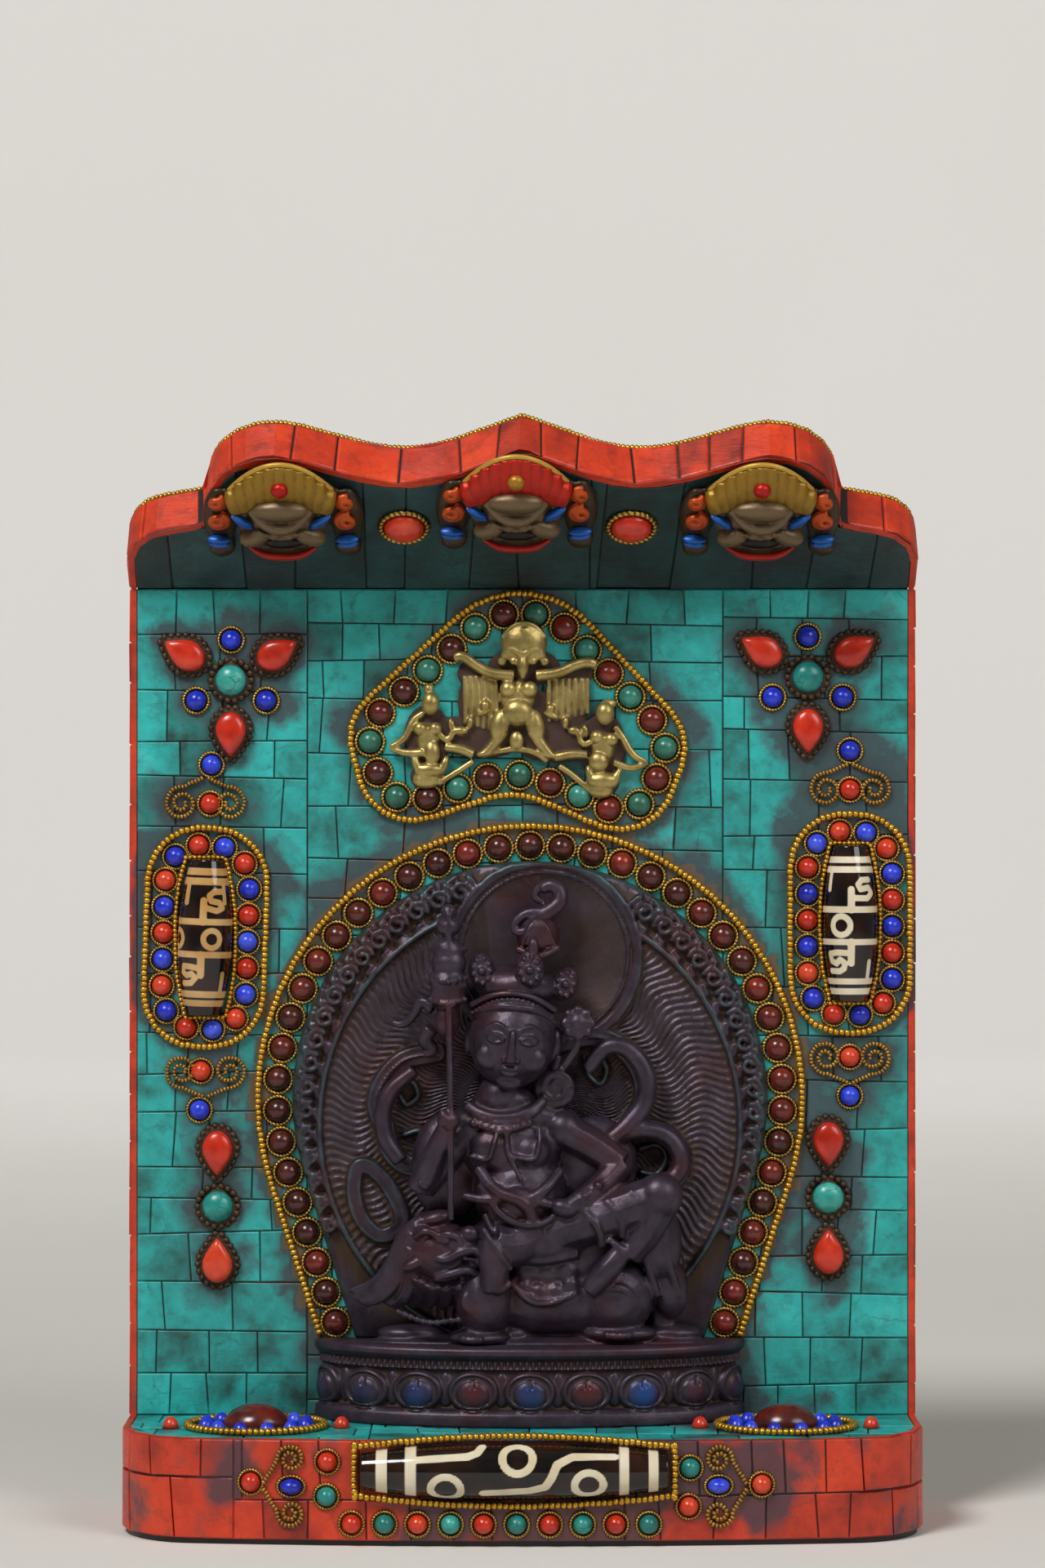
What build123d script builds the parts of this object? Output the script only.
# A tabletop shrine niche: a wooden stand, back panel and leaning canopy faced with
# turquoise and coral chips, carrying a bronze relief and set stones.
from build123d import *
import os
from math import acos, atan2, cos, pi, radians, sin, sqrt, tan

os.makedirs("parts", exist_ok=True)

# Lengths are in millimetres, turns in degrees. Shares are parts of the size that they are named with.
full_turn = 360.0
half_turn = 180.0
quarter_turn = 90.0

# Bronze relief: the middle of the design, which the panel is sized round
halo_radius = 64.0
halo_x = 2.0
halo_rise_share = 1.0047
halo_foot_share = 0.7344
halo_thickness = 3.0
halo_bead_count = 41
arch_steps = 36
pedestal_width_share = 0.9063
pedestal_depth = 24.0
pedestal_height = 21.0
pedestal_foot_height = 4.5
pedestal_rim_height = 5.0
pedestal_waist_step = 2.0
pedestal_steps = 20
limb_cut_share = 0.4
limb_sides = 4

# Relief on the halo, in shares of its radius: across from its middle, up from the pedestal
aureole_spot_share = (0.0, 0.898)
aureole_radii_shares = (0.883, 0.938)
aureole_sides = 40
nimbus_spot_share = (0.061, 1.609)
nimbus_radius_share = 0.4125
nimbus_sides = 28
relief_rim = 2.4
relief_height = 1.7
nimbus_height = 0.9
flame_count = 19
flame_length = 5.2
flame_radii = (1.6, 0.7)
scarf_half_width = 2.8
scarf_height = 3.0
scarf_shares = [
    [(-0.394, 1.202), (-0.578, 1.141), (-0.642, 0.989), (-0.575, 0.778), (-0.406, 0.736)],
    [(0.161, 1.255), (0.359, 1.234), (0.475, 1.055), (0.33, 0.845)],
    [(0.33, 0.809), (0.5, 0.883), (0.628, 0.75), (0.559, 0.628)],
    [(-0.728, 0.664), (-0.702, 0.495), (-0.578, 0.439), (-0.547, 0.555), (-0.656, 0.711), (-0.728, 0.664)],
]

# Limbs of the figure and the lion in the same shares: start, end, radius at each, lift and height
figure_limb_shares = [
    ((-0.072, 1.295), (-0.075, 1.239), 0.181, 0.175, 0.0, 0.328),
    ((-0.156, 1.486), (0.047, 1.486), 0.094, 0.094, 0.0, 0.242),
    ((0.034, 1.664), (0.034, 1.727), 0.091, 0.081, 0.0, 0.206),
    ((-0.109, 1.086), (-0.094, 0.961), 0.097, 0.109, 0.0, 0.219),
    ((-0.141, 0.812), (-0.016, 0.805), 0.156, 0.156, 0.0, 0.256),
    ((-0.039, 0.648), (-0.036, 0.57), 0.18, 0.18, 0.0, 0.275),
    ((-0.125, 0.445), (0.141, 0.445), 0.141, 0.141, 0.0, 0.259),
    ((-0.253, 0.895), (-0.455, 0.648), 0.078, 0.067, 0.0, 0.219),
    ((-0.455, 0.647), (-0.338, 0.923), 0.066, 0.053, 0.0, 0.287),
    ((0.147, 0.883), (0.38, 0.742), 0.08, 0.067, 0.0, 0.211),
    ((0.38, 0.742), (0.163, 0.577), 0.066, 0.05, 0.0, 0.284),
    ((0.098, 0.469), (0.533, 0.617), 0.113, 0.1, 0.0, 0.297),
    ((0.537, 0.611), (0.402, 0.372), 0.097, 0.072, 0.0, 0.297),
    ((0.392, 0.408), (0.237, 0.227), 0.056, 0.05, 0.0, 0.3),
    ((-0.008, 0.458), (-0.152, 0.43), 0.109, 0.087, 0.0, 0.306),
    ((-0.152, 0.441), (-0.153, 0.223), 0.081, 0.059, 0.0, 0.312),
    ((-0.125, 0.172), (0.344, 0.172), 0.15, 0.15, 0.0, 0.219),
    ((0.356, 0.211), (0.356, 0.18), 0.163, 0.163, 0.0, 0.25),
    ((-0.188, 0.219), (-0.188, 0.141), 0.128, 0.125, 0.0, 0.272),
    ((-0.422, 0.359), (-0.273, 0.439), 0.138, 0.084, 0.0, 0.266),
    ((-0.391, 0.273), (-0.656, 0.172), 0.125, 0.062, 0.0, 0.172),
    ((-0.672, 0.017), (0.75, 0.017), 0.037, 0.037, 0.0, 0.197),
    ((-0.297, 0.036), (-0.109, 0.036), 0.044, 0.044, 0.0, 0.25),
    ((0.25, 0.039), (0.484, 0.039), 0.044, 0.044, 0.0, 0.225),
    ((-0.002, 1.531), (-0.002, 1.594), 0.062, 0.047, 0.0, 0.258),
    ((-0.2, 1.531), (-0.197, 1.578), 0.056, 0.044, 0.0, 0.209),
    ((0.148, 1.473), (0.164, 1.523), 0.055, 0.044, 0.0, 0.178),
    ((-0.338, 1.794), (-0.327, 0.523), 0.019, 0.019, 0.228, 0.053),
    ((-0.341, 1.633), (-0.341, 1.523), 0.078, 0.081, 0.117, 0.131),
    ((-0.344, 1.477), (-0.345, 1.367), 0.044, 0.041, 0.125, 0.122),
    ((0.2, 1.342), (0.2, 1.323), 0.066, 0.066, 0.0, 0.184),
    ((0.112, 1.073), (0.103, 1.058), 0.077, 0.077, 0.0, 0.178),
]

# Carcass
side_band = 42.0
base_thickness = 1.5
base_inset = 1.5
ledge_depth = 46.0
plinth_bow_radius = 750.0
plinth_corner_radius = 22.0
veneer = 2.0
canopy_thickness = 13.0
canopy_tilt = 50.0

# Canopy outline, right half: across in shares of the half width, up the slope from the panel's front edge
canopy_peak = 53.3
canopy_dip_share = 0.2821
canopy_dip_slope = 38.4
canopy_dip_radius_share = 0.2736
canopy_lobe_share = 0.7877
canopy_lobe_slope = 59.3
canopy_lobe_radius_share = 0.1745
canopy_notch_slope = 26.0
canopy_shoulder_slope = 20.7
canopy_shoulder_radius_share = 0.1226
ease_steps = 6

# Gold rope
rope_width = 2.3
rope_height = 2.0

# Stones: few-sided in plan here, with the top edge cut back
round_sides = 6
oval_sides = 8
stone_cut_share = 0.5
bead_height = 2.8
halo_bead_radius = 3.2
crest_bead_radius = 3.2
side_bead_radius = 2.7
ring_radius = 4.1
side_ring_radius = 3.6

# Guardian masks and ovals on the canopy's underside: across in shares of the half width, up the slope
mask_place_shares = [-0.5972, -0.016, 0.5887]
mask_slopes = [31.0, 34.0, 31.0]
mask_hair_radius = 17.5
mask_hair_height = 3.0
mask_face_radius = 11.5
mask_face_height = 7.0
mask_muzzle_radius = 6.5
mask_muzzle_height = 10.0
mask_muzzle_drop = 6.0
mask_ear_radius = 5.0
canopy_cabochon_place_shares = [-0.2962, 0.2726]
canopy_cabochon_slope = 24.5
canopy_cabochon_radii = (5.6, 5.0)
canopy_cabochon_height = 3.6

# Crest frame: rope line, corner points of the right half about its own centre
crest_x = -1.0
crest_turn = -2.5
crest_lift = 4.43
crest_headroom = 0.0
crest_top = 42.3
crest_side = (47.0, -3.8)
crest_foot = (37.5, -35.0)
crest_notch = -20.5
crest_radii = [25.0, 14.0, 15.0, 20.0]
crest_bead_count = 25
crest_steps = 48

# Figures on the brass plaque, in shares of the crest's top: start, end, radius at each, height
plaque_thickness = 1.2
plaque_limb_shares = [
    ((0.038, 0.444), (0.033, 0.397), 0.149, 0.132, 0.113),
    ((0.028, 0.331), (0.0, 0.118), 0.095, 0.104, 0.09),
    ((-0.007, 0.097), (-0.007, -0.043), 0.113, 0.118, 0.113),
    ((-0.031, 0.236), (-0.366, 0.336), 0.043, 0.043, 0.099),
    ((0.109, 0.236), (0.414, 0.312), 0.043, 0.043, 0.099),
    ((-0.246, 0.165), (-0.246, -0.071), 0.132, 0.118, 0.047),
    ((0.303, 0.165), (0.303, -0.071), 0.132, 0.118, 0.047),
    ((-0.121, -0.078), (-0.217, -0.258), 0.066, 0.043, 0.104),
    ((0.104, -0.078), (0.201, -0.267), 0.066, 0.043, 0.104),
    ((-0.563, 0.061), (-0.579, -0.13), 0.066, 0.076, 0.109),
    ((-0.579, -0.142), (-0.567, -0.307), 0.085, 0.104, 0.095),
    ((0.546, -0.005), (0.539, -0.189), 0.066, 0.076, 0.109),
    ((0.532, -0.225), (0.527, -0.378), 0.085, 0.104, 0.095),
    ((-0.52, -0.217), (-0.142, -0.18), 0.109, 0.109, 0.038),
    ((0.142, -0.18), (0.473, -0.246), 0.109, 0.109, 0.038),
]

# Upright long beads at the sides, left then right: turn, gap to the panel's edge, rise over the halo's middle
dzi_turns = [-2.0, 0.0]
dzi_margins = [3.35, 0.55]
dzi_rise_shares = [0.6781, 0.7375]
dzi_half_length = 21.2
dzi_radius = 7.4
dzi_end_radius = 4.6
dzi_taper_share = 0.55
dzi_end_gap = 0.85
dzi_side_gap = 1.25
dzi_corner_share = 0.9
dzi_bead_count = 18
dzi_steps = 36
long_bead_sides = 12
scroll_gap = 0.95
scroll_spread = 7.4
scroll_radius = 4.4
scroll_wire = 1.2
scroll_sides = 8
pendant_gap = 3.4
pendant_radius = 2.7

# Flowers and drop columns on the panel, left then right
flower_insets = [27.5, 29.2]
flower_gaps = [1.4, -1.5]
flower_turns = [90.0, 210.0, 330.0]
flower_lapis_radius = 2.8
flower_lapis_gap = 2.0
column_insets = [23.9, 23.7]
column_gaps = [0.8, 2.2]
drop_radii = (4.2, 1.4)
drop_length = 6.6
drop_height = 3.2
drop_gap = 0.3
column_gap = 0.5
turquoise_radius = 4.3
setting_margin = 1.8
setting_thickness = 1.2

# Plinth front: places of stones are outward from the rope's ends, and up
front_dzi_half_length = 40.0
front_dzi_radius = 7.6
front_dzi_end_radius = 5.0
front_dzi_taper_share = 0.75
front_dzi_x = -2.1
front_gap = 0.3
front_rope_steps = 10
front_row_gap = 1.1
front_row_foot = 1.9
front_row_pitch = 8.55
front_row_count = 10
front_row_x = -5.8
front_bead_radius = 2.6
front_left_spots = [(5.9, 22.0), (6.1, 13.0), (15.3, 15.5), (25.8, 16.5)]
front_right_spots = [(2.9, 20.5), (2.5, 10.5), (10.3, 15.8), (21.5, 16.0)]
front_lapis_radii = (3.0, 2.1)

# Ledge ornaments, left then right: gap to the pedestal, and forward of the panel's face
ledge_insets = [14.4, 9.5]
ledge_forward = 22.5
ledge_rim_radii = (19.3, 15.5)
ledge_rim_sides = 24
ledge_agate_radii = (9.2, 7.2)
ledge_agate_height = 6.0
ledge_bead_radius = 2.2
ledge_ring_share = 0.565
ledge_lapis_count = 12
ledge_coral_gap = 1.1

# Where things stand: the panel's size follows from what it carries
slope = radians(canopy_tilt)
panel_thickness = canopy_thickness / cos(slope)
whole_depth = panel_thickness + ledge_depth + front_dzi_radius
back_y = whole_depth / 2
face_y = back_y - panel_thickness
front_y = face_y - ledge_depth
half_width = halo_radius + side_band
niche_width = 2 * half_width
front_frame_depth = 2 * front_dzi_radius + front_gap + rope_width
plinth_height = front_frame_depth + front_row_gap + 2 * front_bead_radius + front_row_foot
plinth_top = base_thickness + plinth_height
pedestal_top = plinth_top + pedestal_height
pedestal_half_width = halo_radius * pedestal_width_share
halo_rise = halo_radius * halo_rise_share
halo_z = pedestal_top + halo_rise
halo_foot_half = halo_radius * halo_foot_share

# The crest stands over the arch, and the panel ends just over the crest
arch_reach = halo_radius + 2 * ring_radius + rope_width
crest_z = halo_z + sqrt(arch_reach**2 - crest_foot[0] ** 2) + crest_lift - crest_foot[1]
crest_half_corner = atan2(crest_side[0], crest_top - crest_side[1])
crest_crown = crest_top - crest_radii[0] / sin(crest_half_corner) + crest_radii[0] + rope_width / 2
panel_top = crest_z + crest_crown + crest_headroom
panel_height = panel_top - plinth_top

# Side ornaments: bead frame, scroll and pendant in a chain, then a flower above and a column below
dzi_frame_half_height = dzi_half_length + dzi_end_gap + side_bead_radius + side_ring_radius + rope_width / 2
dzi_frame_half_width = dzi_radius + dzi_side_gap + side_bead_radius + side_ring_radius + rope_width / 2
dzi_frame_corner_radius = dzi_frame_half_width * dzi_corner_share
scroll_rise = dzi_frame_half_height + rope_width / 2 + scroll_radius + scroll_gap
pendant_rise = scroll_rise + scroll_radius + pendant_gap + pendant_radius
flower_drop_reach = turquoise_radius + drop_gap + drop_radii[1] + drop_length
flower_lapis_reach = turquoise_radius + setting_margin + flower_lapis_gap + flower_lapis_radius
column_pitch = turquoise_radius + 2 * setting_margin + column_gap + drop_radii[0]
flower_fall = flower_drop_reach + drop_radii[0] + setting_margin
column_climb = column_pitch + drop_length + drop_radii[1] + setting_margin
dzi_spots = []
flower_spots = []
column_spots = []
for side, hand in enumerate((-1, 1)):
    dzi_x = half_width - dzi_margins[side] - rope_width / 2 - dzi_frame_half_width
    dzi_z = halo_z + halo_radius * dzi_rise_shares[side]
    chain = pendant_rise + pendant_radius
    dzi_spots.append((hand * dzi_x, dzi_z, dzi_turns[side]))
    flower_spots.append((hand * (half_width - flower_insets[side]), dzi_z + chain + flower_gaps[side] + flower_fall))
    column_spots.append((hand * (half_width - column_insets[side]), dzi_z - chain - column_gaps[side] - column_climb))

mask_spots = [(half_width * share, rise) for share, rise in zip(mask_place_shares, mask_slopes)]
canopy_cabochon_spots = [(half_width * share, canopy_cabochon_slope) for share in canopy_cabochon_place_shares]
ledge_spots = []
for hand, inset in zip((-1, 1), ledge_insets):
    ledge_spots.append((halo_x + hand * (pedestal_half_width + inset), ledge_forward))

face_plane = Plane(origin=(0, face_y, 0), x_dir=(1, 0, 0), z_dir=(0, -1, 0))
halo_plane = face_plane.offset(halo_thickness)
front_plane = Plane(origin=(0, front_y, 0), x_dir=(1, 0, 0), z_dir=(0, -1, 0))
ledge_plane = Plane.XY.offset(plinth_top)
soffit_plane = Plane(origin=(0, face_y, panel_top), x_dir=(1, 0, 0), z_dir=(0, -cos(slope), -sin(slope)))
crest_plane = Plane(
    origin=(crest_x, face_y, crest_z),
    x_dir=(cos(radians(crest_turn)), 0, sin(radians(crest_turn))),
    z_dir=(0, -1, 0),
)


def panel_plane(x, z, turn):
    """Plane on the panel's face at a spot, turned about the face's normal."""
    return Plane(
        origin=(x, face_y, z), x_dir=(cos(radians(turn)), 0, sin(radians(turn))), z_dir=(0, -1, 0)
    )


def plinth_plan(inset):
    """Bowed plan of the plinth, drawn in by an inset."""
    with BuildSketch() as plan:
        with Locations((0, (back_y + front_y) / 2)):
            Rectangle(niche_width, back_y - front_y)
        with Locations((0, front_y + plinth_bow_radius)):
            Circle(plinth_bow_radius, mode=Mode.INTERSECT)
        fillet(plan.vertices().sort_by(Axis.Y)[:2], radius=plinth_corner_radius)
        if inset:
            offset(amount=-inset, kind=Kind.INTERSECTION)
    return plan.sketch


def eased(points, radii):
    """A line of points with its inner corners rounded in a few straight steps."""
    line = [points[0]]
    for before, corner, after, radius in zip(points, points[1:], points[2:], radii):
        corner = Vector(*corner)
        arrive = (Vector(*before) - corner).normalized()
        leave = (Vector(*after) - corner).normalized()
        middle = (arrive + leave).normalized()
        half = acos(arrive.dot(middle))
        centre = corner + middle * (radius / sin(half))
        swing = pi / 2 - half
        for n in range(ease_steps + 1) if radius else [0]:
            turn = swing * (1 - 2 * n / ease_steps)
            across = arrive - middle * arrive.dot(middle)
            spot = centre - middle * (radius * cos(turn)) + across.normalized() * (radius * sin(turn))
            line.append((spot.X, spot.Y))
    return [*line, points[-1]]


def canopy_outline(inset):
    """Cloud outline of the canopy on its own plane, drawn in by an inset."""
    foot = -(canopy_thickness + rope_height) * tan(slope) - 4 * veneer
    lobe = half_width * canopy_lobe_share
    right = [
        (half_width, foot),
        (half_width, canopy_shoulder_slope),
        (lobe, canopy_notch_slope),
        (lobe, canopy_lobe_slope),
        (half_width * canopy_dip_share, canopy_dip_slope),
        (0, canopy_peak),
    ]
    shares = [canopy_shoulder_radius_share, 0, canopy_lobe_radius_share, canopy_dip_radius_share]
    radii = [half_width * share for share in shares]
    edge = eased(right, radii)
    with BuildSketch() as outline:
        Polygon(*edge, *[(-x, s) for x, s in reversed(edge[:-1])], align=None)
        if inset:
            offset(amount=-inset, kind=Kind.INTERSECTION)
    return outline.sketch


def crest_outline(grow):
    """Three-cornered crest outline with a notch below, grown by an amount."""
    right = [crest_side, crest_foot]
    left = [(-x, z) for x, z in reversed(right)]
    radii = crest_radii + crest_radii[2:0:-1]
    with BuildSketch() as outline:
        with BuildLine():
            FilletPolyline((0, crest_top), *right, (0, crest_notch), *left, radius=radii, close=True)
        make_face()
        if grow:
            offset(amount=grow)
    return outline.sketch


def arch_points(grow):
    """Points of the arch round the relief: a few-sided circle drawn down to the pedestal, grown by an amount."""
    radius = halo_radius + grow
    foot = halo_foot_half + grow
    start = atan2(-halo_rise, foot) + acos(radius / sqrt(foot**2 + halo_rise**2))
    turns = [start + (pi - 2 * start) * n / arch_steps for n in range(arch_steps + 1)]
    arc = [(halo_x + radius * cos(turn), halo_z + radius * sin(turn)) for turn in turns]
    return [(halo_x + foot, pedestal_top), *arc, (halo_x - foot, pedestal_top)]


def halo_outline(grow):
    """The arch as a face."""
    with BuildSketch() as outline:
        Polygon(*arch_points(grow), align=None)
    return outline.sketch


def dzi_outline(grow):
    """Rounded frame line round an upright long bead, grown by an amount."""
    with BuildSketch() as outline:
        RectangleRounded(2 * dzi_frame_half_width, 2 * dzi_frame_half_height, dzi_frame_corner_radius)
        if grow:
            offset(amount=grow)
    return outline.sketch


def spaced(path, count, start_share):
    """Spots spread evenly along a closed line, as pairs on the line's own plane."""
    spots = [path @ (((n + start_share) / count) % 1) for n in range(count)]
    return [(spot.X, spot.Y) for spot in spots]


def few_sided(sketch, steps):
    """A curved outline as a face with straight steps."""
    with BuildSketch() as outline:
        Polygon(*spaced(sketch.faces()[0].outer_wire(), steps, 0), align=None)
    return outline.sketch


def oval(radii, sides):
    """Few-sided oval as a face."""
    turns = [radians(full_turn * n / sides) for n in range(sides)]
    with BuildSketch() as outline:
        Polygon(*[(radii[0] * cos(turn), radii[1] * sin(turn)) for turn in turns], align=None)
    return outline.sketch


def stone(radii, height, sides):
    """Set stone on the ground plane, with its top edge cut back."""
    with BuildPart() as block:
        extrude(oval(radii, sides), amount=height)
        chamfer(block.faces().sort_by(Axis.Z)[-1].edges(), length=min(*radii, height) * stone_cut_share)
    return block.part


def placed(plane, shape, spots):
    """Copies of a shape at spots on a plane."""
    return [plane * Pos(x, y) * shape for x, y in spots]


def laid(plane, sketch, thickness):
    """A flat shape laid on a plane."""
    extrude(plane * sketch, amount=thickness)


def capsule(plane, start, end, start_radius, end_radius):
    """Rounded outline from one spot to another on a plane, with few-sided ends."""
    along = atan2(end[1] - start[1], end[0] - start[0])
    turns = [pi * n / limb_sides - pi / 2 for n in range(limb_sides + 1)]
    tip = [(end[0] + end_radius * cos(along + turn), end[1] + end_radius * sin(along + turn)) for turn in turns]
    back = along + pi
    tail = [(start[0] + start_radius * cos(back + turn), start[1] + start_radius * sin(back + turn)) for turn in turns]
    with BuildSketch(plane) as outline:
        Polygon(*tip, *tail, align=None)
    return outline.sketch.faces()[0]


def limb(plane, start, end, start_radius, end_radius, height):
    """Limb of a relief, from one spot to another on a plane, with its top edge cut back."""
    with BuildPart() as block:
        extrude(capsule(Plane.XY, start, end, start_radius, end_radius), amount=height)
        cut = min(start_radius, end_radius, height) * limb_cut_share
        chamfer(block.faces().sort_by(Axis.Z)[-1].edges(), length=cut)
    return plane * block.part


def long_bead(plane, half_length, radius, end_radius, taper_share):
    """Long bead along the plane's x axis, a many-sided bar that narrows to its ends, cut flat at the plane."""
    with BuildPart() as bead:
        with BuildSketch(Plane.YZ.offset(-half_length)):
            RegularPolygon(radius, long_bead_sides)
        extrude(amount=2 * half_length)
        for end in (0, -1):
            face = bead.faces().sort_by(Axis.X)[end]
            chamfer(face.edges(), length=radius - end_radius, length2=half_length * taper_share, reference=face)
        split(bisect_by=Plane.XY, keep=Keep.TOP)
    return plane * bead.part


# Base board and plinth
with BuildPart() as base_board:
    extrude(plinth_plan(base_inset), amount=base_thickness)
base_board.part.label = "base_board"

with BuildPart() as plinth_core:
    extrude(Plane.XY.offset(base_thickness) * plinth_plan(veneer), amount=plinth_height - veneer)
plinth_core.part.label = "plinth_core"

with BuildPart() as plinth_coral_band:
    extrude(Plane.XY.offset(base_thickness) * plinth_plan(0), amount=plinth_height)
    extrude(Plane.XY.offset(base_thickness) * plinth_plan(veneer), amount=plinth_height, mode=Mode.SUBTRACT)
plinth_coral_band.part.label = "plinth_coral_band"

with BuildPart() as plinth_turquoise_top:
    extrude(Plane.XY.offset(plinth_top - veneer) * plinth_plan(veneer), amount=veneer)
plinth_turquoise_top.part.label = "plinth_turquoise_top"

with BuildPart() as plinth_block:
    extrude(plinth_plan(0), amount=plinth_top)

# Back panel and its facings
inner_width = niche_width - 2 * veneer


def upright(x, y, width, depth):
    """Upright slab standing on the plinth."""
    with BuildSketch(ledge_plane) as foot:
        with Locations((x, y)):
            Rectangle(width, depth)
    extrude(foot.sketch, amount=panel_height)


with BuildPart() as back_panel_core:
    upright(0, (face_y + back_y) / 2, inner_width, panel_thickness - 2 * veneer)
back_panel_core.part.label = "back_panel_core"

with BuildPart() as panel_turquoise_front:
    upright(0, face_y + veneer / 2, inner_width, veneer)
panel_turquoise_front.part.label = "panel_turquoise_front"

with BuildPart() as panel_turquoise_back:
    upright(0, back_y - veneer / 2, inner_width, veneer)
panel_turquoise_back.part.label = "panel_turquoise_back"

with BuildPart() as panel_coral_edge_left:
    upright(-half_width + veneer / 2, (face_y + back_y) / 2, veneer, panel_thickness)
panel_coral_edge_left.part.label = "panel_coral_edge_left"

with BuildPart() as panel_coral_edge_right:
    upright(half_width - veneer / 2, (face_y + back_y) / 2, veneer, panel_thickness)
panel_coral_edge_right.part.label = "panel_coral_edge_right"

# Canopy: a board that leans forward, mitred onto the panel's top
seat_plane = Plane.XY.offset(panel_top)

with BuildPart() as canopy_core:
    extrude(soffit_plane.offset(-veneer) * canopy_outline(veneer), amount=-(canopy_thickness - 2 * veneer))
    split(bisect_by=seat_plane, keep=Keep.TOP)
canopy_core.part.label = "canopy_core"

with BuildPart() as canopy_turquoise_soffit:
    extrude(soffit_plane * canopy_outline(veneer), amount=-veneer)
    split(bisect_by=seat_plane, keep=Keep.TOP)
canopy_turquoise_soffit.part.label = "canopy_turquoise_soffit"

with BuildPart() as canopy_turquoise_top:
    extrude(soffit_plane.offset(veneer - canopy_thickness) * canopy_outline(veneer), amount=-veneer)
    split(bisect_by=seat_plane, keep=Keep.TOP)
canopy_turquoise_top.part.label = "canopy_turquoise_top"

with BuildPart() as canopy_coral_edge:
    extrude(soffit_plane * canopy_outline(0), amount=-canopy_thickness)
    extrude(soffit_plane * canopy_outline(veneer), amount=-canopy_thickness, mode=Mode.SUBTRACT)
    split(bisect_by=seat_plane, keep=Keep.TOP)
canopy_coral_edge.part.label = "canopy_coral_edge"

with BuildPart() as canopy_rope:
    extrude(soffit_plane.offset(-canopy_thickness) * canopy_outline(0), amount=-rope_height)
    extrude(soffit_plane.offset(-canopy_thickness) * canopy_outline(rope_width), amount=-rope_height, mode=Mode.SUBTRACT)
    split(bisect_by=seat_plane, keep=Keep.TOP)
    split(bisect_by=Plane(origin=(0, back_y, 0), x_dir=(1, 0, 0), z_dir=(0, -1, 0)), keep=Keep.TOP)
canopy_rope.part.label = "canopy_rope"


# Guardian masks: a fan of hair, a face and a muzzle
def mask(spot):
    x, s = spot
    side = mask_hair_radius - mask_ear_radius
    low = s - mask_muzzle_drop
    return [
        limb(soffit_plane, (x - side, s), (x + side, s), mask_ear_radius, mask_ear_radius, mask_hair_height),
        limb(soffit_plane, (x, low), (x, s + mask_ear_radius), mask_face_radius, side, mask_hair_height),
        limb(soffit_plane, (x, low), (x, s), mask_face_radius, mask_face_radius, mask_face_height),
        limb(soffit_plane, (x, low), (x, s), mask_muzzle_radius, mask_muzzle_radius, mask_muzzle_height),
    ]


mask_limbs = [mask(spot) for spot in mask_spots]

with BuildPart() as guardian_mask_left:
    add(mask_limbs[0])
guardian_mask_left.part.label = "guardian_mask_left"

with BuildPart() as guardian_mask_centre:
    add(mask_limbs[1])
guardian_mask_centre.part.label = "guardian_mask_centre"

with BuildPart() as guardian_mask_right:
    add(mask_limbs[2])
guardian_mask_right.part.label = "guardian_mask_right"

canopy_stone = stone(canopy_cabochon_radii, canopy_cabochon_height, oval_sides)

with BuildPart() as canopy_cabochons:
    add(placed(soffit_plane, canopy_stone, canopy_cabochon_spots))
canopy_cabochons.part.label = "canopy_cabochons"

# Crest: rope frame, stones and brass plaque
crest_line = crest_outline(-rope_width / 2 - ring_radius).faces()[0].outer_wire()
crest_spots = spaced(crest_line, crest_bead_count, 0)
crest_stone = stone([crest_bead_radius] * 2, bead_height, round_sides)

with BuildPart() as crest_rope:
    crest_outer = few_sided(crest_outline(rope_width / 2), crest_steps)
    crest_inner = few_sided(crest_outline(-rope_width / 2), crest_steps)
    laid(crest_plane, crest_outer - crest_inner, rope_height)
crest_rope.part.label = "crest_rope"

with BuildPart() as crest_agate_beads:
    add(placed(crest_plane, crest_stone, crest_spots[::2]))
crest_agate_beads.part.label = "crest_agate_beads"

with BuildPart() as crest_jade_beads:
    add(placed(crest_plane, crest_stone, crest_spots[1::2]))
crest_jade_beads.part.label = "crest_jade_beads"

plaque_room = few_sided(crest_outline(-rope_width / 2 - 2 * ring_radius), crest_steps)
plaque_limbs = []
for limb_shares in plaque_limb_shares:
    start, end = [[crest_top * share for share in spot] for spot in limb_shares[:2]]
    sizes = [crest_top * share for share in limb_shares[2:]]
    plaque_limbs.append(limb(Plane.XY, start, end, *sizes))

with BuildPart() as plaque_block:
    add(plaque_limbs)
    extrude(plaque_room, amount=crest_top, mode=Mode.INTERSECT)

with BuildPart() as crest_plaque:
    add(crest_plane * plaque_block.part)
crest_plaque.part.label = "crest_plaque"


# Bronze relief: the figure on its lion, with a staff in its hand
def on_halo(spot):
    """A spot given in shares of the halo's radius, as a place on the panel's face."""
    return (halo_x + halo_radius * spot[0], pedestal_top + halo_radius * spot[1])


figure_parts = []
for start, end, *shares in figure_limb_shares:
    start_radius, end_radius, lift, height = [halo_radius * share for share in shares]
    figure_parts.append(limb(halo_plane.offset(lift), on_halo(start), on_halo(end), start_radius, end_radius, height))

with BuildPart() as deity_on_lion:
    add(figure_parts)
    split(bisect_by=Plane.XY.offset(pedestal_top), keep=Keep.TOP)
deity_on_lion.part.label = "deity_on_lion"


# Halo: a plate with a rim round the rays, a disc behind the head, flames in the border and scarf loops
def few_sided_ring(spot, radii, sides):
    """Ring on the halo about a spot, as wide as the relief's rim."""
    inner = [radius - relief_rim for radius in radii]
    return Pos(*on_halo(spot)) * (oval(radii, sides) - oval(inner, sides))


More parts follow.
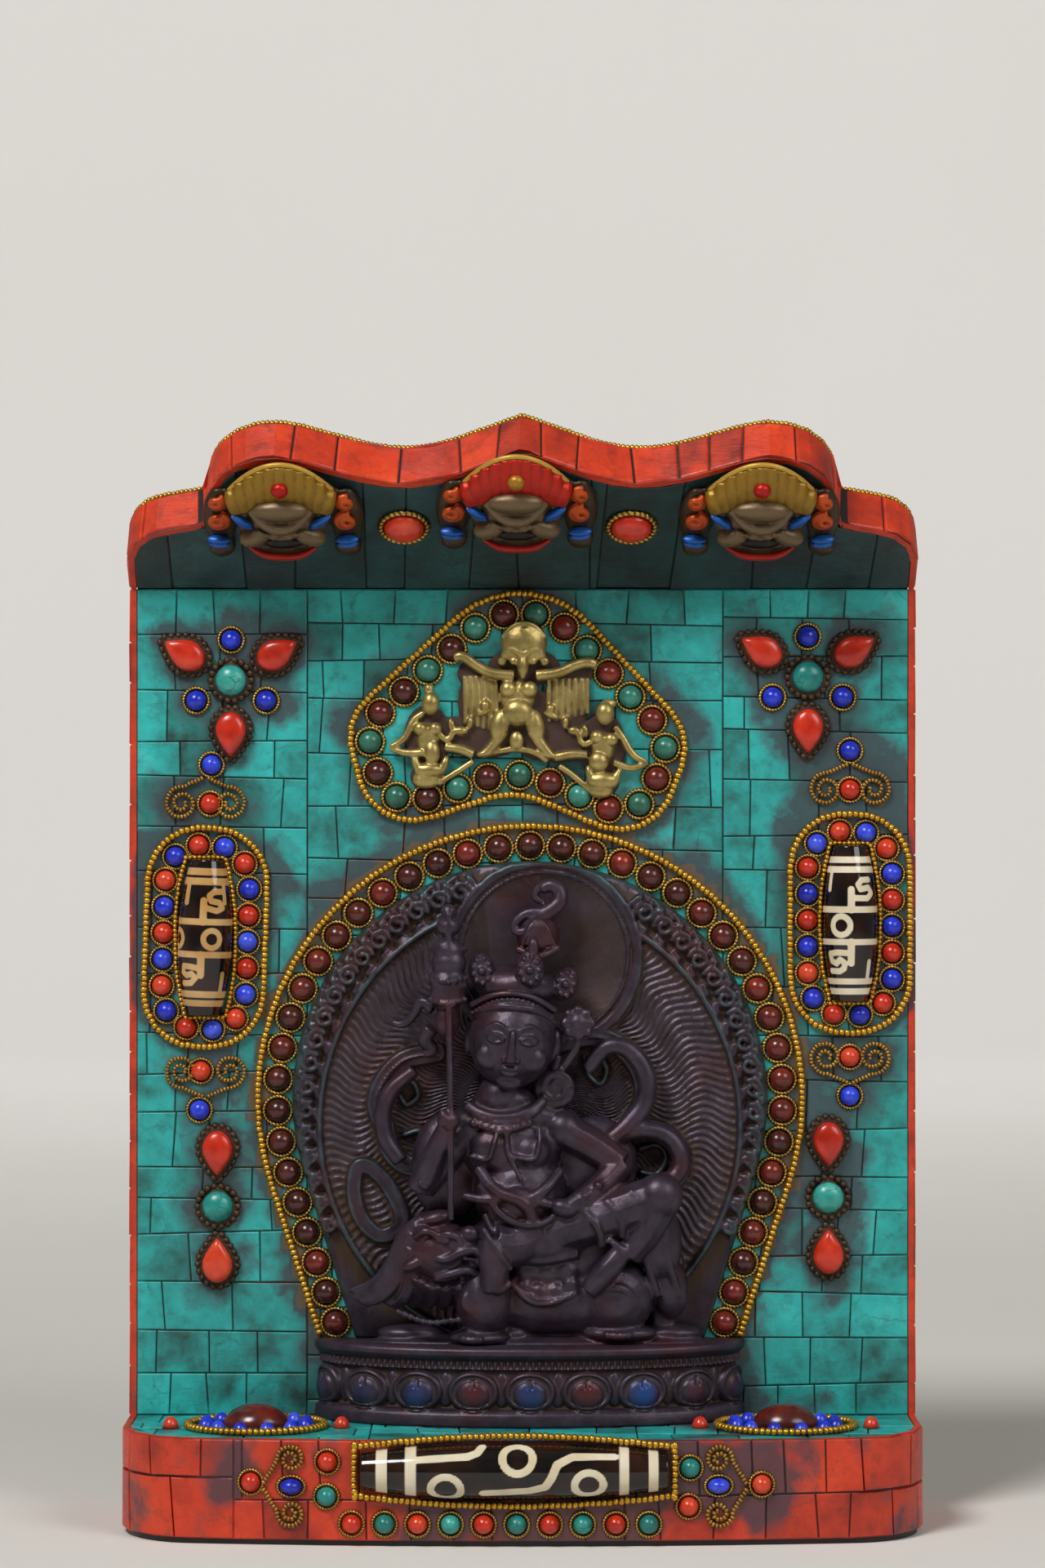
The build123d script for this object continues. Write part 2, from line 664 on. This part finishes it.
aureole_radii = [halo_radius * share for share in aureole_radii_shares]
nimbus_radii = [halo_radius * nimbus_radius_share] * 2
nimbus = Pos(*on_halo(nimbus_spot_share)) * oval(nimbus_radii, nimbus_sides)
flame_line = Polyline(*arch_points(-2 * flame_radii[0]))

with BuildSketch() as flames:
    for n in range(flame_count):
        share = (n + 1 / 2) / flame_count
        root = flame_line @ share
        lean = flame_line % share * (flame_length if share < 1 / 2 else -flame_length)
        add(capsule(Plane.XY, (root.X, root.Y), (root.X + lean.X, root.Y + lean.Y), *flame_radii))
    add(nimbus, mode=Mode.SUBTRACT)
    add(halo_outline(0), mode=Mode.INTERSECT)

with BuildSketch() as aureole:
    add(few_sided_ring(aureole_spot_share, aureole_radii, aureole_sides) - nimbus)
    add(few_sided_ring(nimbus_spot_share, nimbus_radii, nimbus_sides))
    add(halo_outline(0), mode=Mode.INTERSECT)

with BuildSketch() as scarves:
    for spots in scarf_shares:
        loop = [on_halo(spot) for spot in spots]
        for start, end in zip(loop, loop[1:]):
            add(capsule(Plane.XY, start, end, scarf_half_width, scarf_half_width))

with BuildPart() as halo_plate:
    laid(face_plane, halo_outline(0), halo_thickness)
    laid(halo_plane, nimbus & halo_outline(0), nimbus_height)
    laid(halo_plane, aureole.sketch, relief_height)
    laid(halo_plane, flames.sketch, relief_height)
    laid(halo_plane, scarves.sketch, scarf_height)
    add(deity_on_lion.part, mode=Mode.SUBTRACT)
halo_plate.part.label = "halo_plate"

arch_line = Polyline(*arch_points(ring_radius))
arch_spots = [arch_line @ ((n + 1 / 2) / halo_bead_count) for n in range(halo_bead_count)]
halo_stone = stone([halo_bead_radius] * 2, bead_height, round_sides)

with BuildPart() as halo_beads:
    add(placed(face_plane, halo_stone, [(spot.X, spot.Y) for spot in arch_spots]))
halo_beads.part.label = "halo_beads"

rope_out = 2 * ring_radius + rope_width
with BuildPart() as halo_rope:
    laid(face_plane, halo_outline(rope_out) - halo_outline(rope_out - rope_width), rope_height)
halo_rope.part.label = "halo_rope"


def pedestal_tier(z, inset, height):
    """One tier of the pedestal: half an oval in front of the panel."""
    turns = [pi + pi * n / pedestal_steps for n in range(pedestal_steps + 1)]
    reach = (pedestal_half_width - inset, pedestal_depth - inset)
    with BuildSketch(Plane.XY.offset(z)) as tier:
        Polygon(*[(halo_x + reach[0] * cos(turn), face_y + reach[1] * sin(turn)) for turn in turns], align=None)
    extrude(tier.sketch, amount=height)


with BuildPart() as lotus_pedestal:
    waist_height = pedestal_height - pedestal_foot_height - pedestal_rim_height
    pedestal_tier(plinth_top, 0, pedestal_foot_height)
    pedestal_tier(plinth_top + pedestal_foot_height, pedestal_waist_step, waist_height)
    pedestal_tier(pedestal_top - pedestal_rim_height, 0, pedestal_rim_height)
lotus_pedestal.part.label = "lotus_pedestal"


# Upright long beads, their frames, stones and scrolls
def upright_bead(spot):
    x, z, turn = spot
    plane = panel_plane(x, z, turn + quarter_turn)
    return long_bead(plane, dzi_half_length, dzi_radius, dzi_end_radius, dzi_taper_share)


with BuildPart() as dzi_bead_left:
    add(upright_bead(dzi_spots[0]))
dzi_bead_left.part.label = "dzi_bead_left"

with BuildPart() as dzi_bead_right:
    add(upright_bead(dzi_spots[1]))
dzi_bead_right.part.label = "dzi_bead_right"

dzi_line = dzi_outline(-rope_width / 2 - side_ring_radius).faces()[0].outer_wire()
dzi_spaced = spaced(dzi_line, dzi_bead_count, 0)

dzi_frame = few_sided(dzi_outline(rope_width / 2), dzi_steps) - few_sided(dzi_outline(-rope_width / 2), dzi_steps)

with BuildPart() as dzi_rope_left:
    laid(panel_plane(*dzi_spots[0]), dzi_frame, rope_height)
dzi_rope_left.part.label = "dzi_rope_left"

with BuildPart() as dzi_rope_right:
    laid(panel_plane(*dzi_spots[1]), dzi_frame, rope_height)
dzi_rope_right.part.label = "dzi_rope_right"

side_stone = stone([side_bead_radius] * 2, bead_height, round_sides)
pendant_stone = stone([pendant_radius] * 2, bead_height, round_sides)
flower_stone = stone([flower_lapis_radius] * 2, bead_height, round_sides)

with BuildPart() as panel_coral_beads:
    for spot in dzi_spots:
        add(placed(panel_plane(*spot), side_stone, dzi_spaced[::2] + [(0, scroll_rise), (0, -scroll_rise)]))
panel_coral_beads.part.label = "panel_coral_beads"

with BuildPart() as panel_lapis_beads:
    for spot in dzi_spots:
        add(placed(panel_plane(*spot), side_stone, dzi_spaced[1::2]))
        add(placed(panel_plane(*spot), pendant_stone, [(0, pendant_rise), (0, -pendant_rise)]))
    for x, z in flower_spots:
        leans = [radians(turn) for turn in flower_turns]
        around = [(flower_lapis_reach * cos(lean), flower_lapis_reach * sin(lean)) for lean in leans]
        add(placed(panel_plane(x, z, 0), flower_stone, around))
panel_lapis_beads.part.label = "panel_lapis_beads"

with BuildPart() as filigree_scrolls:
    for spot in dzi_spots:
        for rise in (scroll_rise, -scroll_rise):
            with BuildSketch(panel_plane(*spot)) as scroll:
                with Locations((-scroll_spread, rise), (scroll_spread, rise)):
                    RegularPolygon(scroll_radius, scroll_sides)
                    RegularPolygon(scroll_radius - scroll_wire, scroll_sides, mode=Mode.SUBTRACT)
            extrude(scroll.sketch, amount=scroll_wire)
filigree_scrolls.part.label = "filigree_scrolls"

# Flowers and columns: brass settings, coral drops, turquoise rounds
drop_planes = []
round_planes = []
for x, z in flower_spots:
    round_planes.append(panel_plane(x, z, 0))
    for turn in flower_turns:
        lean = radians(turn + half_turn)
        drop_planes.append(
            panel_plane(x + flower_drop_reach * cos(lean), z + flower_drop_reach * sin(lean), turn + quarter_turn)
        )
for x, z in column_spots:
    round_planes.append(panel_plane(x, z, 0))
    drop_planes.append(panel_plane(x, z + column_pitch, 0))
    drop_planes.append(panel_plane(x, z - column_pitch, half_turn))

drop_tip = (0, drop_length)
setting_radii = [radius + setting_margin for radius in drop_radii]
seat_planes = [plane.offset(setting_thickness) for plane in drop_planes]
drops = [limb(plane, (0, 0), drop_tip, *drop_radii, drop_height) for plane in seat_planes]
turquoise_stone = stone([turquoise_radius] * 2, bead_height, oval_sides)

with BuildPart() as flower_settings:
    for plane in drop_planes:
        extrude(capsule(plane, (0, 0), drop_tip, *setting_radii), amount=setting_thickness)
    for plane in round_planes:
        with BuildSketch(plane) as seat:
            RegularPolygon(turquoise_radius + setting_margin, oval_sides)
        extrude(seat.sketch, amount=setting_thickness)
flower_settings.part.label = "flower_settings"

with BuildPart() as panel_coral_drops:
    add(drops)
panel_coral_drops.part.label = "panel_coral_drops"

with BuildPart() as panel_turquoise_rounds:
    for plane in round_planes:
        add(placed(plane.offset(setting_thickness), turquoise_stone, [(0, 0)]))
panel_turquoise_rounds.part.label = "panel_turquoise_rounds"

# Plinth front: long bead, rope and stones, all let in to the bowed face
front_dzi_z = plinth_top - front_dzi_radius

bead_plane = Plane(origin=(front_dzi_x, front_y, front_dzi_z), x_dir=(1, 0, 0), z_dir=(0, -1, 0))

with BuildPart() as front_dzi_bead:
    add(long_bead(bead_plane, front_dzi_half_length, front_dzi_radius, front_dzi_end_radius, front_dzi_taper_share))
front_dzi_bead.part.label = "front_dzi_bead"


def front_outline(grow):
    """Frame line round the long bead on the plinth, grown by an amount."""
    half = front_dzi_half_length
    end = front_dzi_end_radius
    shares = [2 * n / front_rope_steps - 1 for n in range(front_rope_steps + 1)]
    top = [(half * share, front_dzi_radius + (end - front_dzi_radius) * share**2) for share in shares]
    with BuildSketch() as outline:
        Polygon(*top, *[(x, -z) for x, z in reversed(top)], align=None)
        offset(amount=grow, kind=Kind.INTERSECTION)
    return outline.sketch


with BuildPart() as front_dzi_rope:
    frame_plane = bead_plane.offset(-veneer / 2)
    frame = front_outline(front_gap + rope_width) - front_outline(front_gap)
    extrude(frame_plane * frame, amount=rope_height + veneer / 2)
    add(plinth_block.part, mode=Mode.SUBTRACT)
front_dzi_rope.part.label = "front_dzi_rope"

front_row_z = front_dzi_z - front_dzi_radius - front_gap - rope_width - front_row_gap - front_bead_radius
row_start = front_row_x - front_row_pitch * (front_row_count - 1) / 2
row = [(row_start + front_row_pitch * n, front_row_z) for n in range(front_row_count)]
rope_end = front_dzi_half_length + front_gap + rope_width
front_left = [(front_dzi_x - rope_end - out, z) for out, z in front_left_spots]
front_right = [(front_dzi_x + rope_end + out, z) for out, z in front_right_spots]


def bow_plane(spot):
    """Plane on the plinth's bowed front at a spot, square to the bow."""
    lean = spot[0] / plinth_bow_radius
    drawn_back = plinth_bow_radius * (1 - (1 - lean**2) ** (1 / 2))
    side = (1 - lean**2) ** (1 / 2)
    return Plane(origin=(spot[0], front_y + drawn_back, spot[1]), x_dir=(side, lean, 0), z_dir=(lean, -side, 0))


def ledge_plane_at(spot):
    """Plane on the ledge at a spot given across and forward of the panel."""
    return Plane(origin=(spot[0], face_y - spot[1], plinth_top), x_dir=(1, 0, 0), z_dir=(0, 0, 1))


front_stone = stone([front_bead_radius] * 2, bead_height, round_sides)
front_lapis_stone = stone(front_lapis_radii, bead_height, oval_sides)
ledge_stone = stone([ledge_bead_radius] * 2, bead_height, round_sides)
ledge_agate = stone(ledge_agate_radii, ledge_agate_height, oval_sides)
ledge_coral_reach = ledge_rim_radii[0] + ledge_coral_gap + ledge_bead_radius

with BuildPart() as plinth_coral_beads:
    for spot in row[::2] + [front_left[0], front_right[1], front_left[3], front_right[3]]:
        add(placed(bow_plane(spot), front_stone, [(0, 0)]))
    for spot in ledge_spots:
        add(placed(ledge_plane_at(spot), ledge_stone, [(-ledge_coral_reach, 0), (ledge_coral_reach, 0)]))
plinth_coral_beads.part.label = "plinth_coral_beads"

with BuildPart() as plinth_turquoise_beads:
    for spot in row[1::2] + [front_left[1], front_right[0]]:
        add(placed(bow_plane(spot), front_stone, [(0, 0)]))
plinth_turquoise_beads.part.label = "plinth_turquoise_beads"

# Ledge: oval agates inside rope ovals, with a ring of small stones
ledge_ring_radii = []
for rim_radius, agate_radius in zip(ledge_rim_radii, ledge_agate_radii):
    ledge_ring_radii.append(agate_radius + (rim_radius - rope_width - agate_radius) * ledge_ring_share)

with BuildPart() as plinth_lapis_beads:
    for spot in (front_left[2], front_right[2]):
        add(placed(bow_plane(spot), front_lapis_stone, [(0, 0)]))
    for spot in ledge_spots:
        turns = [radians(full_turn * (n + 1 / 2) / ledge_lapis_count) for n in range(ledge_lapis_count)]
        ring = [(ledge_ring_radii[0] * cos(turn), ledge_ring_radii[1] * sin(turn)) for turn in turns]
        add(placed(ledge_plane_at(spot), ledge_stone, ring))
plinth_lapis_beads.part.label = "plinth_lapis_beads"

with BuildPart() as ledge_agates:
    for spot in ledge_spots:
        add(placed(ledge_plane_at(spot), ledge_agate, [(0, 0)]))
ledge_agates.part.label = "ledge_agates"

with BuildPart() as ledge_rims:
    for spot in ledge_spots:
        inner_radii = [radius - rope_width for radius in ledge_rim_radii]
        rim = oval(ledge_rim_radii, ledge_rim_sides) - oval(inner_radii, ledge_rim_sides)
        laid(ledge_plane_at(spot), rim, rope_height)
ledge_rims.part.label = "ledge_rims"

pieces = [
    base_board, plinth_core, plinth_coral_band, plinth_turquoise_top,
    back_panel_core, panel_turquoise_front, panel_turquoise_back, panel_coral_edge_left, panel_coral_edge_right,
    canopy_core, canopy_turquoise_soffit, canopy_turquoise_top, canopy_coral_edge, canopy_rope,
    guardian_mask_left, guardian_mask_centre, guardian_mask_right, canopy_cabochons,
    crest_plaque, crest_agate_beads, crest_jade_beads, crest_rope,
    halo_plate, deity_on_lion, lotus_pedestal, halo_beads, halo_rope,
    dzi_bead_left, dzi_bead_right, dzi_rope_left, dzi_rope_right,
    panel_coral_beads, panel_lapis_beads, filigree_scrolls,
    flower_settings, panel_coral_drops, panel_turquoise_rounds,
    front_dzi_bead, front_dzi_rope, plinth_coral_beads, plinth_turquoise_beads, plinth_lapis_beads,
    ledge_agates, ledge_rims,
]
for piece in pieces:
    export_step(piece.part, f"parts/{piece.part.label}.step")
